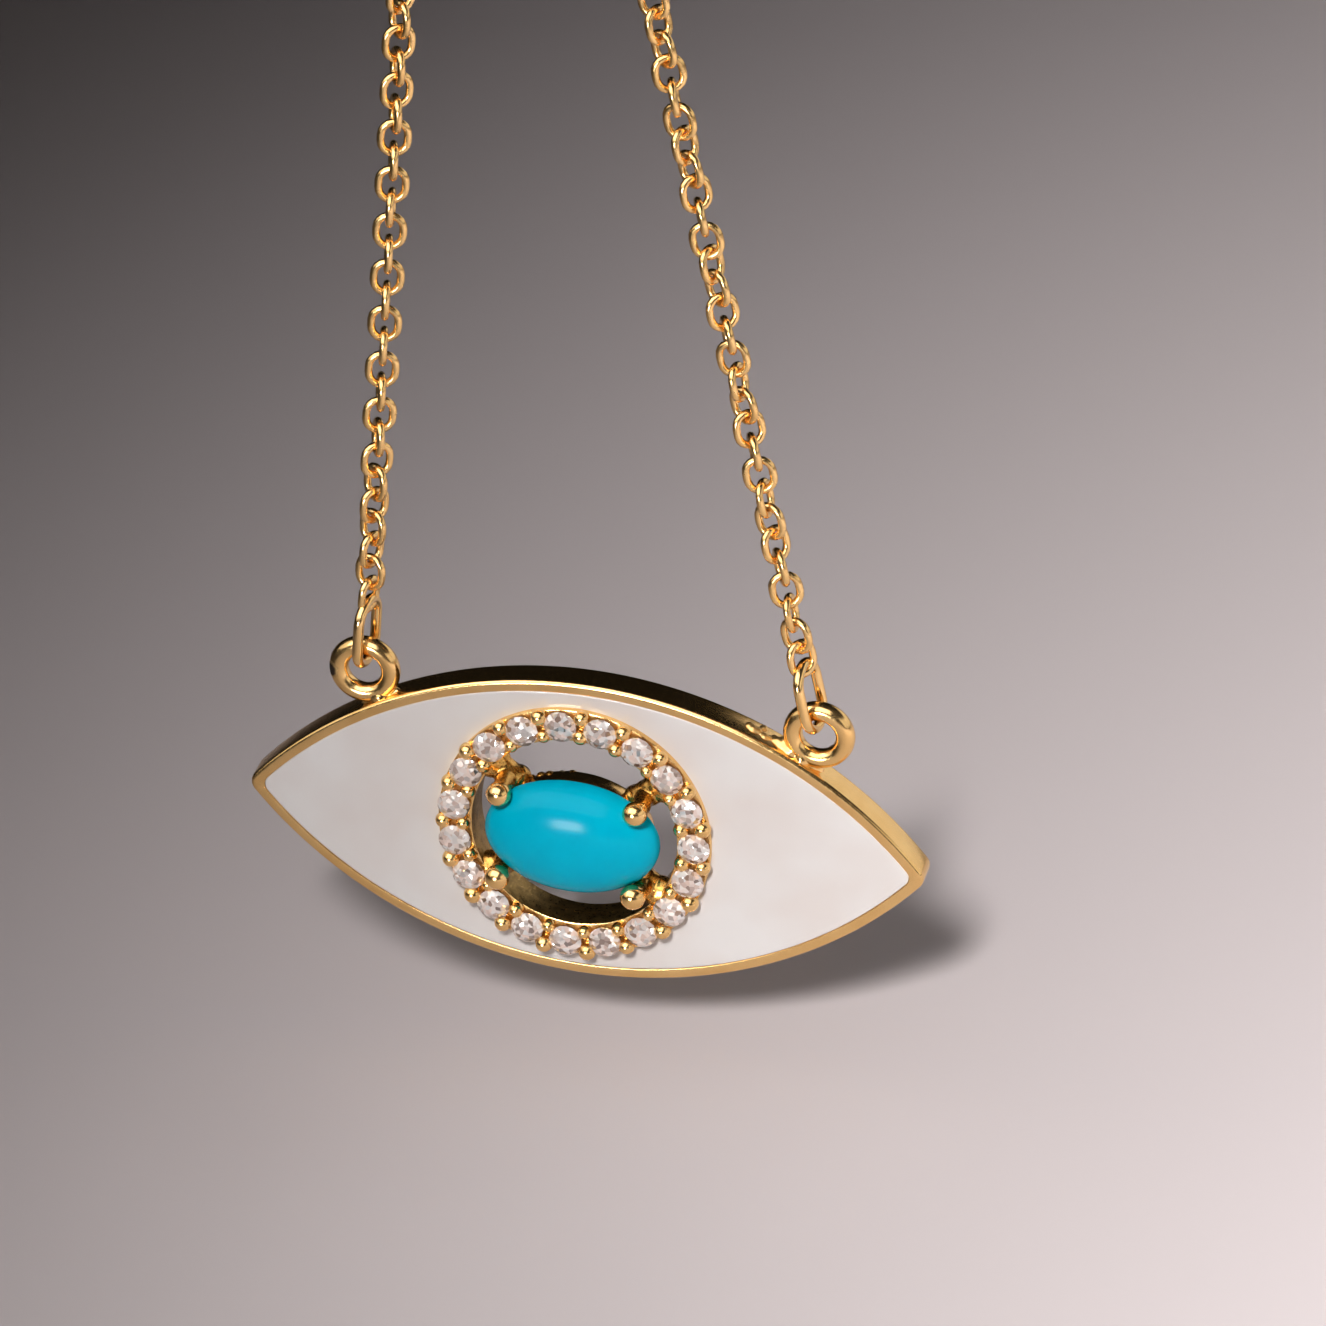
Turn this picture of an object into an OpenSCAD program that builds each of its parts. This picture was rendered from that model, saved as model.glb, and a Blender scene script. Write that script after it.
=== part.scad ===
// Eye pendant on a fine cable chain, hung by its clasp.
// The origin is the point inside the clasp ring where a hook or peg holds it.
// +Z is up, the enamelled face looks towards -Y, millimetres throughout.
// The pendant is first laid out flat: x along the eye, y across it, z out of the face.

/* [Eye] */
// Length of the eye from tip to tip
eye_length = 30; // [28:0.5:34]
// Height of the eye at its middle
eye_height = 14.6; // [14.2:0.1:16]
// Depth of the gold frame from face to back
frame_depth = 1.5; // [1.3:0.05:2]
// Width of the gold rim seen on the face
rim_width = 0.45; // [0.3:0.05:0.7]
// Rounding of the rim's outer front edge
rim_round = 0.3; // [0.1:0.05:0.4]
// How much lower the right tip hangs, in degrees
hang_tilt = 5.6; // [0:0.1:8]

/* [Enamel] */
// Thickness of the enamel plate
enamel_thickness = 0.7; // [0.5:0.05:0.9]
// Rounding of the enamel at the two tips of the eye
enamel_tip_round = 0.35; // [0.2:0.05:0.6]
// Gap between the enamel and the gold around it
enamel_gap = 0.02; // [0.01:0.01:0.05]

/* [Halo] */
// Number of round stones in the halo
stone_count = 19; // [16:1:19]
// Radius of the circle through the stones
halo_radius = 5.4; // [5.3:0.05:5.6]
// Inner radius of the halo's wall
halo_inner = 4.6; // [4.4:0.05:4.65]
// Outer radius of the halo's wall
halo_outer = 6.26; // [6.24:0.01:6.4]
// Height of the halo's gold above the enamel
halo_rise = 0.42; // [0.3:0.02:0.6]
// Offset of the halo from the middle of the eye
halo_offset = -0.4; // [-0.6:0.1:0]
// Diameter of each round stone
stone_d = 1.46; // [1.3:0.02:1.46]
// Height of the stones' girdles above the enamel
girdle_height = 0.5; // [0.4:0.02:0.6]
// Radius of the gold beads that hold the stones
bead_r = 0.26; // [0.2:0.01:0.28]
// Distance of the beads from the circle through the stones
bead_offset = 0.53; // [0.5:0.01:0.53]

/* [Centre stone] */
// Length of the oval centre stone
centre_length = 7.8; // [7:0.1:8]
// Width of the oval centre stone
centre_width = 5.3; // [4.8:0.1:5.6]
// Height of its base above the enamel
centre_base = 0.25; // [0.1:0.05:0.5]
// Height of its straight edge
centre_edge = 0.3; // [0.2:0.05:0.4]
// Height of its dome above the edge
centre_dome = 1.5; // [1.2:0.1:1.8]
// Radius of the four claws
claw_r = 0.32; // [0.25:0.01:0.36]
// Radius of the ball at the tip of each claw
claw_ball_r = 0.5; // [0.4:0.02:0.55]
// Distance of the claws from the stone's middle, along the eye
claw_x = 3.1; // [3:0.05:3.3]
// Distance of the claws from the stone's middle, across the eye
claw_y = 2.2; // [2.1:0.05:2.4]

/* [Rings] */
// Radius of the middle of the wire in the two soldered rings
ring_r = 1.16; // [1:0.02:1.3]
// Radius of the wire of the soldered rings
ring_wire_r = 0.43; // [0.4:0.01:0.48]
// Distance of the soldered rings from the middle of the eye
ring_x = 10.12; // [9.5:0.01:10.6]
// Depth of the rings' middle behind the face
ring_depth = 0.72; // [0.5:0.01:0.9]
// Length of the oval jump rings
jump_length = 3.5; // [3.3:0.1:4]
// Width of the oval jump rings
jump_width = 2.35; // [2:0.05:2.4]
// Radius of the jump rings' wire
jump_wire_r = 0.225; // [0.2:0.005:0.24]
// Turn of the jump rings out of the square position, in degrees
jump_turn = 9; // [0:1:10]

/* [Chain and clasp] */
// Width of the fine chain
chain_width = 1.38; // [1.2:0.02:1.5]
// Radius of the clasp ring to the middle of its wire
clasp_r = 2.6; // [2.4:0.1:3]
// Radius of the clasp ring's wire
clasp_wire_r = 0.4; // [0.35:0.01:0.45]
// Radius of the clasp's two small loops
loop_r = 0.75; // [0.7:0.05:0.8]
// Radius of the wire in the clasp's small loops
loop_wire_r = 0.2; // [0.16:0.01:0.22]

/* [Hidden] */
stone_names = [for (i = [1 : stone_count]) str("diamond_", i < 10 ? "0" : "", i)];

$fn = 64;
overlap = 0.05;

// The middle of the eye, from the hang point
eye_middle = [-0.5, -207.2];
// Lean of each chain strand from upright, where it meets the pendant
strand_lean = 8;

// The eye's outline is two arcs of this radius, with centres this far below and above
arc_r = (pow(eye_length / 2, 2) + pow(eye_height / 2, 2)) / eye_height;
arc_drop = arc_r - eye_height / 2;
field_r = arc_r - rim_width;
field_tip_x = sqrt(pow(field_r - enamel_tip_round, 2) - pow(arc_drop, 2));

halo_top = halo_rise;
seat_clear = 0.015;
crown_height = 0.155 * stone_d;
girdle_thickness = 0.03 * stone_d;
pavilion_depth = 0.41 * stone_d;
table_r = 0.28 * stone_d;
crown_mid_r = 0.39 * stone_d;
pavilion_mid_r = 0.3 * stone_d;

seat_gap = 0.05;
rail_tip_r = 1.75;
rail_half_length = centre_length / 2 - 0.15;
rail_half_width = centre_width / 2 - 0.15;
rail_wall = 0.45;
rail_height = 1;
rail_high = centre_base - seat_gap;
rail_low = rail_high - rail_height;
claw_rise = 0.85;
claw_top = centre_base + centre_edge + claw_rise;
ball_lean_x = 0.08;
ball_lean_y = 0.1;
bar_r = 0.38;
bar_drop = 0.12;
bar_z = rail_low + bar_r - bar_drop;

ring_stand = 0.34;
ring_y = sqrt(pow(arc_r + ring_r + ring_stand, 2) - ring_x * ring_x) - arc_drop;
foot_r = 0.5;
foot_inward = 0.24;
jump_clear = 0.1;
jump_drop = ring_wire_r + jump_clear + jump_wire_r;
tube_sides = 8;
tube_rings = 40;

// Half the gap between the two strands at each height, from the pendant up to the clasp
strand_route = [[-180, 7.1], [-170, 5.75], [-160, 4.5], [-150, 3.35], [-140, 2.5],
    [-130, 2], [-120, 1.75], [-100, 1.6], [-60, 1.6], [-6.6, 1.6]];
left_start = [-196.3, 9.43];
right_start = [-198.3, 9.64];
loop_half_gap = 1.6;

// Outline of an oval made of two long arcs with a small arc at each tip
module oval(half_length, half_width, tip_r) {
    long_r = (pow(half_length, 2) + pow(half_width, 2) - 2 * tip_r * half_length)
        / (2 * (half_width - tip_r));
    tip_x = half_length - tip_r;
    drop = long_r - half_width;
    join_x = tip_x * long_r / (long_r - tip_r);
    intersection() {
        translate([0, -drop]) circle(long_r, $fn = 128);
        translate([0, drop]) circle(long_r, $fn = 128);
        square([2 * join_x, 2 * half_width + 2], center = true);
    }
    for (side = [-1, 1]) translate([side * tip_x, 0]) circle(tip_r);
}

// A disc whose front edge is rounded, standing on its back
module rounded_disc(r, back, front, edge) {
    translate([0, 0, back]) cylinder(r = r, h = front - edge - back, $fn = 128);
    rotate_extrude($fn = 128) {
        translate([0, front - edge - overlap]) square([r - edge, edge + overlap]);
        intersection() {
            translate([r - edge, front - edge]) circle(edge);
            translate([r - edge - overlap, front - edge - overlap])
                square(edge + 2 * overlap);
        }
    }
}

// The eye's own shape: where two such discs overlap
module eye_blank(r, back, front, edge) {
    intersection() {
        translate([0, -arc_drop, 0]) rounded_disc(r, back, front, edge);
        translate([0, arc_drop, 0]) rounded_disc(r, back, front, edge);
    }
}

// The field of enamel inside the rim, drawn in by the given amount
module field(inset) {
    oval(field_tip_x + enamel_tip_round - inset, field_r - arc_drop - inset,
        enamel_tip_round - inset);
}

// Seat cut for one round stone, open at the top
module stone_seat() {
    r = stone_d / 2 + seat_clear;
    rotate_extrude($fn = 32) polygon([[0, girdle_height - pavilion_depth - 0.12],
        [r, girdle_height - girdle_thickness - 0.05], [r, halo_top + 1], [0, halo_top + 1]]);
}

function stone_angle(i) = 97 - (i - 1) * 360 / stone_count;

module halo_metal() {
    difference() {
        union() {
            translate([0, 0, -frame_depth])
                cylinder(r = halo_outer, h = frame_depth + halo_top - 0.12, $fn = 128);
            translate([0, 0, halo_top - 0.12])
                cylinder(r1 = halo_outer, r2 = halo_outer - 0.06, h = 0.12, $fn = 128);
        }
        translate([0, 0, -frame_depth - 1])
            cylinder(r = halo_inner, h = frame_depth + halo_top + 2, $fn = 128);
        for (i = [1 : stone_count])
            rotate(stone_angle(i)) translate([halo_radius, 0, 0]) stone_seat();
    }
    for (i = [1 : stone_count]) rotate(stone_angle(i) - 180 / stone_count)
        for (side = [-1, 1]) translate([halo_radius + side * bead_offset, 0, halo_top])
            sphere(bead_r, $fn = 24);
}

// Open gallery under the centre stone, with four claws and the bars that carry them
module gallery() {
    translate([0, 0, rail_low]) linear_extrude(rail_high - rail_low) difference() {
        oval(rail_half_length, rail_half_width, rail_tip_r);
        oval(rail_half_length - rail_wall, rail_half_width - rail_wall,
            rail_tip_r - rail_wall);
    }
    reach = halo_inner + 0.3;
    inward = 0.7;
    lean = atan2(claw_y, claw_x);
    for (sx = [-1, 1], sy = [-1, 1]) {
        translate([sx * claw_x, sy * claw_y, rail_low])
            cylinder(r = claw_r, h = claw_top - rail_low, $fn = 32);
        translate([sx * (claw_x - ball_lean_x), sy * (claw_y - ball_lean_y), claw_top])
            sphere(claw_ball_r, $fn = 32);
        mirror([sx < 0 ? 1 : 0, 0, 0]) mirror([0, sy < 0 ? 1 : 0, 0])
            translate([claw_x, claw_y, bar_z]) rotate([0, 90, lean])
                translate([0, 0, -inward]) cylinder(r = bar_r,
                    h = reach - norm([claw_x, claw_y]) + inward, $fn = 32);
    }
}

module soldered_ring(side) {
    translate([side * ring_x, ring_y, -ring_depth]) {
        rotate_extrude($fn = 64) translate([ring_r, 0]) circle(ring_wire_r, $fn = 32);
        rotate(atan2(-ring_y - arc_drop, -side * ring_x))
            translate([ring_r + foot_inward, 0, 0]) sphere(foot_r, $fn = 32);
    }
}

// Places what is laid out flat where the pendant hangs
module hung() {
    translate([eye_middle[0], 0, eye_middle[1]]) rotate([0, hang_tilt, 0])
        rotate([90, 0, 0]) translate([0, 0, ring_depth]) children();
}

module eye_frame() {
    color([0.86, 0.66, 0.32]) hung() {
        difference() {
            eye_blank(arc_r, -frame_depth, 0, rim_round);
            translate([0, 0, -enamel_thickness - enamel_gap])
                linear_extrude(enamel_thickness + 1) field(0);
            translate([halo_offset, 0, -frame_depth - 1])
                cylinder(r = halo_inner, h = frame_depth + 2, $fn = 128);
        }
        translate([halo_offset, 0, 0]) {
            halo_metal();
            gallery();
        }
        for (side = [-1, 1]) soldered_ring(side);
    }
}

module enamel() {
    color([0.85, 0.83, 0.81]) hung() difference() {
        translate([0, 0, -enamel_thickness]) linear_extrude(enamel_thickness)
            field(enamel_gap);
        translate([halo_offset, 0, -frame_depth])
            cylinder(r = halo_outer + enamel_gap, h = frame_depth + 1, $fn = 128);
    }
}

module turquoise() {
    color([0.02, 0.66, 0.8]) hung() translate([halo_offset, 0, centre_base])
        intersection() {
            translate([0, 0, centre_edge])
                scale([centre_length / 2, centre_width / 2, centre_dome]) sphere(1, $fn = 48);
            translate([-centre_length, -centre_width, 0])
                cube([2 * centre_length, 2 * centre_width, centre_edge + 2 * centre_dome]);
        }
}

// Points of a ring of n corners, the first one turned by the given angle
function corners(n, r, z, turn) =
    [for (k = [0 : n - 1]) let (a = turn + k * 360 / n) [r * cos(a), r * sin(a), z]];

// Height of a facet that falls from one radius to another, at the corner half way round it
function facet_height(r_from, z_from, r_to, z_to, r_mid) =
    z_from + (r_mid * cos(22.5) - r_from) * (z_to - z_from) / (r_to - r_from);

// A round brilliant about its girdle: table, star, kite and girdle facets, and a pavilion
module brilliant() {
    r = stone_d / 2;
    crown_z = girdle_thickness / 2 + crown_height;
    upper_z = girdle_thickness / 2;
    lower_z = -girdle_thickness / 2;
    culet_z = lower_z - pavilion_depth;
    crown_mid_z = facet_height(table_r, crown_z, r, upper_z, crown_mid_r);
    pavilion_mid_z = facet_height(r, lower_z, 0, culet_z, pavilion_mid_r);
    points = concat(corners(8, table_r, crown_z, 0), corners(8, crown_mid_r, crown_mid_z, 22.5),
        corners(16, r, upper_z, 0), corners(16, r, lower_z, 0),
        corners(8, pavilion_mid_r, pavilion_mid_z, 22.5), [[0, 0, culet_z]]);
    table = 0;
    star = 8;
    upper = 16;
    lower = 32;
    main = 48;
    culet = 56;
    faces = concat([[for (k = [7 : -1 : 0]) table + k]],
        [for (k = [0 : 7]) let (n = (k + 1) % 8, p = (k + 7) % 8) each [
            [table + k, table + n, star + k],
            [table + k, star + k, upper + 2 * k], [table + k, upper + 2 * k, star + p],
            [star + k, upper + 2 * k + 1, upper + 2 * k],
            [star + k, upper + 2 * n, upper + 2 * k + 1],
            [main + k, lower + 2 * k, lower + 2 * k + 1],
            [main + k, lower + 2 * k + 1, lower + 2 * n],
            [culet, main + p, lower + 2 * k], [culet, lower + 2 * k, main + k]]],
        [for (k = [0 : 15]) let (n = (k + 1) % 16) each [
            [upper + k, upper + n, lower + n], [upper + k, lower + n, lower + k]]]);
    polyhedron(points, faces);
}

module diamond(i) {
    color([0.93, 0.92, 0.93]) hung() translate([halo_offset, 0, girdle_height])
        rotate(stone_angle(i)) translate([halo_radius, 0, 0]) brilliant();
}

// The wire in each soldered ring that its jump ring bears on
function bearing_angle(side) = 90 + side * strand_lean + hang_tilt;
function bearing_flat(side) = [side * ring_x + ring_r * cos(bearing_angle(side)),
    ring_y + ring_r * sin(bearing_angle(side))];
function hung_point(p) = [eye_middle[0] + p[0] * cos(hang_tilt) + p[1] * sin(hang_tilt), 0,
    eye_middle[1] - p[0] * sin(hang_tilt) + p[1] * cos(hang_tilt)];

// An upright oval of round wire in the XZ plane, its lowest wire centre at the origin
module wire_oval(length, width, wire_r) {
    bend_r = width / 2 - wire_r;
    straight = length - width;
    translate([0, 0, bend_r]) rotate([90, 0, 0]) {
        rotate([0, 0, 180]) rotate_extrude(angle = 180, $fn = 64)
            translate([bend_r, 0]) circle(wire_r, $fn = 32);
        translate([0, straight, 0]) rotate_extrude(angle = 180, $fn = 64)
            translate([bend_r, 0]) circle(wire_r, $fn = 32);
    }
    for (side = [-1, 1]) translate([side * bend_r, 0, bend_r])
        cylinder(r = wire_r, h = straight, $fn = 32);
}

module jump_ring(side) {
    color([0.9, 0.71, 0.4]) translate(hung_point(bearing_flat(side)))
        rotate([0, -side * strand_lean, 0]) rotate([0, 0, 90 - jump_turn])
            translate([0, 0, -jump_drop]) wire_oval(jump_length, jump_width, jump_wire_r);
}

// Half the gap at height z: a smooth curve through the route's points
function slope_at(route, i) = let (a = max(i - 1, 0), b = min(i + 1, len(route) - 1))
    (route[b][1] - route[a][1]) / (route[b][0] - route[a][0]);
function span_of(route, z, i = 0) =
    i >= len(route) - 2 || z <= route[i + 1][0] ? i : span_of(route, z, i + 1);
function half_gap(route, z) = let (i = span_of(route, z), p = route[i], q = route[i + 1],
        h = q[0] - p[0], t = (z - p[0]) / h, m0 = slope_at(route, i) * h,
        m1 = slope_at(route, i + 1) * h)
    p[1] * (2 * pow(t, 3) - 3 * pow(t, 2) + 1) + m0 * (pow(t, 3) - 2 * pow(t, 2) + t)
    + q[1] * (3 * pow(t, 2) - 2 * pow(t, 3)) + m1 * (pow(t, 3) - pow(t, 2));

// One strand, a tube of the chain's width swept up the route
module strand(side, start) {
    route = concat([start], strand_route);
    low = start[0];
    high = route[len(route) - 1][0];
    step = (high - low) / (tube_rings - 1);
    nudge = 0.5;
    points = [for (k = [0 : tube_rings - 1], s = [0 : tube_sides - 1])
        let (z = low + k * step, x = half_gap(route, z),
            tilt = atan2(half_gap(route, min(z + nudge, high)) - half_gap(route, max(z - nudge, low)),
                min(z + nudge, high) - max(z - nudge, low)),
            a = (s + 0.5) * 360 / tube_sides, r = chain_width / 2)
        [x + r * cos(a) * cos(tilt), r * sin(a), z - r * cos(a) * sin(tilt)]];
    faces = concat([[for (s = [0 : tube_sides - 1]) s]],
        [[for (s = [tube_sides - 1 : -1 : 0]) (tube_rings - 1) * tube_sides + s]],
        [for (k = [0 : tube_rings - 2], s = [0 : tube_sides - 1])
            let (a = k * tube_sides + s, b = k * tube_sides + (s + 1) % tube_sides)
            [b, a, a + tube_sides, b + tube_sides]]);
    color([0.88, 0.68, 0.35]) mirror([side < 0 ? 1 : 0, 0, 0]) polyhedron(points, faces);
}

module clasp() {
    small_loop = clasp_r + clasp_wire_r + loop_r - 0.1;
    color([0.88, 0.68, 0.35]) translate([0, 0, clasp_wire_r - clasp_r]) rotate([90, 0, 0]) {
        rotate_extrude($fn = 64) translate([clasp_r, 0]) circle(clasp_wire_r, $fn = 32);
        for (side = [-1, 1])
            translate([side * loop_half_gap, -sqrt(pow(small_loop, 2) - pow(loop_half_gap, 2)), 0])
                rotate_extrude($fn = 64) translate([loop_r, 0]) circle(loop_wire_r, $fn = 24);
    }
}

eye_frame();
enamel();
turquoise();
for (i = [1 : stone_count])
    diamond(i);
jump_ring(-1);  // jump_ring_left
jump_ring(1);  // jump_ring_right
strand(-1, left_start);  // chain_left
strand(1, right_start);  // chain_right
clasp();
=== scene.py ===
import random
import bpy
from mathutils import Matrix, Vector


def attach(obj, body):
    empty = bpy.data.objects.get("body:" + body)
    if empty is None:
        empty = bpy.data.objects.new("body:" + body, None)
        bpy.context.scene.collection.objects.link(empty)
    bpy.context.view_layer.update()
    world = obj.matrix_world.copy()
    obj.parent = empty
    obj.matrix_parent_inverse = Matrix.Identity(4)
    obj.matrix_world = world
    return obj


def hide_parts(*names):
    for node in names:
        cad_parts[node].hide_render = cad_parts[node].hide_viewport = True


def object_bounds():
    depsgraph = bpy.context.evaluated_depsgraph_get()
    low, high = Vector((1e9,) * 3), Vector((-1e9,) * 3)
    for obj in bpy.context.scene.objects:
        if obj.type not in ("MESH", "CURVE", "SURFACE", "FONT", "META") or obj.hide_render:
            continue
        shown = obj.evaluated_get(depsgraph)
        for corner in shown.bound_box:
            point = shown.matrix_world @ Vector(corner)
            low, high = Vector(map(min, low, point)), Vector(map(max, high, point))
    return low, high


bl_info = {
    "name": "Eye pendant on a fine chain",
    "version": (1, 0, 0),
    "blender": (4, 5, 0),
    "location": "3D View > Sidebar > Pendant",
    "description": "Gold, enamel, stones and a real link chain for an eye pendant",
    "category": "Add Mesh",
}

from math import asin, atan2, cos, exp, pi, radians, sin, sqrt, tan, tau
from types import SimpleNamespace

import bmesh
import bpy
from bpy.props import FloatProperty, FloatVectorProperty, IntProperty, PointerProperty
from bpy.types import Operator, Panel, PropertyGroup
from mathutils import Matrix, Vector, noise

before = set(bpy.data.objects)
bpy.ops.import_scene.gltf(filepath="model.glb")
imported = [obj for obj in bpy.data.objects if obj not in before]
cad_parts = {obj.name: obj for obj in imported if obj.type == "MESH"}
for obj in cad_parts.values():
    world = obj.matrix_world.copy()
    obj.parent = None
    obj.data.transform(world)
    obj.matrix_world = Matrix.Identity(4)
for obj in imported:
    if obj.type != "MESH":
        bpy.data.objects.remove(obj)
cad_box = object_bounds()

PREFIX = "pendant_"
PENDANT_BODY = "pendant"
# The body that the chain's pieces ride on, and the slot of their finish
ON_CHAIN = {"body": "chain", "slot": "gold_wire"}
PER_METRE = 1000
TO_METRES = Matrix.Scale(1 / PER_METRE, 4)
UP = (0, 0, 1)
UPRIGHT = Matrix.Rotation(radians(90), 4, "X")
# Points closer than this are one, and parts reach into each other by the lap, both in millimetres
WELD = 0.0005
LAP = 0.02
# Steps round one of the eye's arcs, one of its tips, the hole under the halo, a wire ring and a seat
ARC_STEPS = 120
TIP_STEPS = 14
HOLE_STEPS = 96
RING_STEPS = 72
SEAT_STEPS = 28


def length(name, text, default):
    """A property for a length, which is given in millimetres and kept in metres."""
    value = default / PER_METRE
    return FloatProperty(name=name, description=text, default=value, unit="LENGTH", precision=5)


def angle(name, text, default):
    """A property for an angle, which is given in degrees."""
    value = radians(default)
    return FloatProperty(name=name, description=text, default=value, subtype="ANGLE")


def colour(name, text, default):
    """A property for a colour."""
    return FloatVectorProperty(
        name=name, description=text, default=default, subtype="COLOR", size=3, min=0, max=1
    )


# Sizes that a user may change

class EyeSizes(PropertyGroup):
    eye_length: length("Length", "Length before the tips are rounded", 30.5)
    eye_height: length("Height", "Height at the middle", 14.6)
    depth: length("Depth", "Depth from face to back", 1.5)
    rim_width: length("Rim width", "Width on the face", 0.5)
    rim_round: length("Rim rounding", "Rounding of the front edge", 0.18)
    back_round: length("Back rounding", "Rounding of the back edge", 0.12)
    tip_round: length("Tip rounding", "Rounding of the two tips", 0.6)
    field_tip_round: length("Enamel tip rounding", "Rounding of its two tips", 0.5)
    enamel_thickness: length("Enamel thickness", "Thickness of the plate", 0.7)
    middle_x: length("Middle X", "Place sideways", -0.5)
    middle_z: length("Middle Z", "Place in height", -207.2)
    face_depth: length("Face depth", "Depth of the rings behind the face", 0.72)
    tilt: angle("Tilt", "How much lower the right tip hangs", 5.6)


class HaloSizes(PropertyGroup):
    stones: IntProperty(name="Stones", description="Number of stones", default=19, min=12, max=24)
    first_stone: angle("First stone", "Direction of the first stone", 97)
    circle: length("Circle", "Radius through the stones", 5.4)
    inner: length("Inner wall", "Inner radius", 4.6)
    outer: length("Outer wall", "Outer radius", 6.1)
    rise: length("Rise", "Height above the enamel", 0.25)
    offset: length("Offset", "Offset from the middle of the eye", -0.4)
    seat: length("Seat", "Radius of a stone's seat", 0.63)
    edge: length("Edge", "Rounding of the gold round the seats", 0.035)
    outer_bead: length("Outer bead", "Radius outside the stones", 0.38)
    inner_bead: length("Inner bead", "Radius inside the stones", 0.34)
    bead_offset: length("Bead offset", "Distance from the stones' circle", 0.46)
    bead_lift: length("Bead lift", "Height of their middle above the gold", 0.13)


class CentreSizes(PropertyGroup):
    stone_length: length("Length", "Length of the oval stone", 7.8)
    stone_width: length("Width", "Width of the oval stone", 5.3)
    base: length("Base", "Height above the enamel", 0.25)
    edge: length("Edge", "Height of the straight edge", 0.3)
    dome: length("Dome", "Height of the dome", 1.5)
    rail_inset: length("Rail inset", "How far inside the outline", 0.15)
    rail_short: length("Rail shortening", "How much further in its ends lie", 0.35)
    rail_wall: length("Rail wall", "Thickness of the rail", 0.4)
    rail_height: length("Rail height", "Height of the rail", 1)
    claw: length("Claw", "Radius of the claws", 0.42)
    ball: length("Ball", "Radius of a claw's ball", 0.55)
    claw_x: length("Claw along", "Distance from the middle, along", 3.1)
    claw_y: length("Claw across", "Distance from the middle, across", 2.2)
    bar: length("Bar", "Radius of the bars that carry the claws", 0.6)


class RingSizes(PropertyGroup):
    ring: length("Soldered ring", "Radius to the middle of its wire", 1.16)
    ring_wire: length("Soldered ring wire", "Radius of its wire", 0.43)
    ring_x: length("Ring place", "Distance from the middle of the eye", 10.12)
    ring_stand: length("Ring stand", "Height over the eye's edge", 0.275)
    jump_length: length("Jump ring length", "Length of the oval", 3.5)
    jump_width: length("Jump ring width", "Width of the oval", 2.35)
    jump_wire: length("Jump ring wire", "Radius of their wire", 0.235)
    play: length("Play", "Gap between the two rings' wires", 0.1)
    jump_turn: angle("Jump ring turn", "Turn out of square", 9)


class ChainSizes(PropertyGroup):
    link_length: length("Link length", "Outer length of a link", 1.82)
    link_width: length("Link width", "Outer width of a link", 1.5)
    link_wire: length("Link wire", "Radius of the links' wire", 0.175)
    pitch: length("Pitch", "Distance from one link to the next", 1.119)
    first_link: length("First link", "Height above the bearing", 2.585)
    last_link: length("Last link", "Height from the hang point", -6.58)
    half_gap: length("Half gap", "Half the strands' gap at the clasp", 1.6)
    lean: angle("Lean", "Lean of the strands at the pendant", 8)
    clasp: length("Clasp", "Radius to the middle of its wire", 2.6)
    clasp_wire: length("Clasp wire", "Radius of its wire", 0.4)
    loop: length("Loop", "Radius of the small loops", 0.75)
    loop_wire: length("Loop wire", "Radius of their wire", 0.2)


class Finishes(PropertyGroup):
    gold: colour("Gold", "Polished gold", (0.96, 0.63, 0.26))
    # Random clouds of this deeper tone lie over all gold; over the bars under the stone it is the whole
    # colour, as painted shade
    gold_deep: colour("Deep gold", "Gold in its hollows", (0.78, 0.43, 0.11))
    # Painted shade: darkened gold for the walls of the hole under the halo
    gold_painted_shade: colour("Painted shade gold", "Dull gold inside the halo", (0.4, 0.26, 0.09))
    # This colour also paints shade in the gap under the turquoise's upper edge
    stain: colour("Stain", "Tarnish and rough solder", (0.05, 0.035, 0.025))
    enamel: colour("Enamel", "Off-white enamel", (0.78, 0.77, 0.75))
    enamel_warm: colour("Warm enamel", "Clouds in the enamel", (0.7332, 0.693, 0.66))
    turquoise: colour("Turquoise", "The oval stone", (0.0, 0.48, 0.68))
    turquoise_deep: colour("Deep turquoise", "Clouds in the stone", (0.0, 0.44, 0.64))
    floor: colour("Floor", "The pale floor", (0.62, 0.57, 0.57))


class StageSettings(PropertyGroup):
    image_size: IntProperty(
        name="Image size", description="Side of the picture", default=1326, subtype="PIXEL"
    )
    focal_pixels: FloatProperty(
        name="Focal length", description="Focal length in the picture's pixels", default=9500
    )
    azimuth: angle("Azimuth", "Camera's direction, right of the front", 16.4)
    elevation: angle("Elevation", "Camera's direction above the horizon", 28.73)
    roll: angle("Roll", "Lean of the camera to the right", 4.78)
    distance: length("Distance", "Camera's distance from its aim", 407.26)
    aim_x: length("Aim X", "What the camera looks at, sideways", 3.68)
    aim_y: length("Aim Y", "What the camera looks at, in depth", -0.72)
    aim_z: length("Aim Z", "What the camera looks at, in height", -198.58)
    floor_drop: length("Floor drop", "Gap between the pendant and the floor", 3.7)


SETTINGS = {
    "eye": EyeSizes,
    "halo": HaloSizes,
    "centre": CentreSizes,
    "rings": RingSizes,
    "chain": ChainSizes,
    "finishes": Finishes,
    "stage": StageSettings,
}


def in_mm(*names):
    """The values of the named groups, with their lengths in millimetres."""
    groups = []
    for name in names:
        group = getattr(bpy.context.scene, PREFIX + name)
        values = {}
        for key in SETTINGS[name].__annotations__:
            prop = group.bl_rna.properties[key]
            is_length = prop.type == "FLOAT" and prop.unit == "LENGTH"
            values[key] = getattr(group, key) * (PER_METRE if is_length else 1)
        groups.append(SimpleNamespace(**values))
    return groups


# Places

def hung(eye):
    """Carries what is laid out flat, x along the eye and z out of its face, to where it hangs."""
    return (
        Matrix.Translation((eye.middle_x, 0, eye.middle_z))
        @ Matrix.Rotation(eye.tilt, 4, "Y")
        @ UPRIGHT
        @ Matrix.Translation((0, 0, eye.face_depth))
    )


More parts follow.
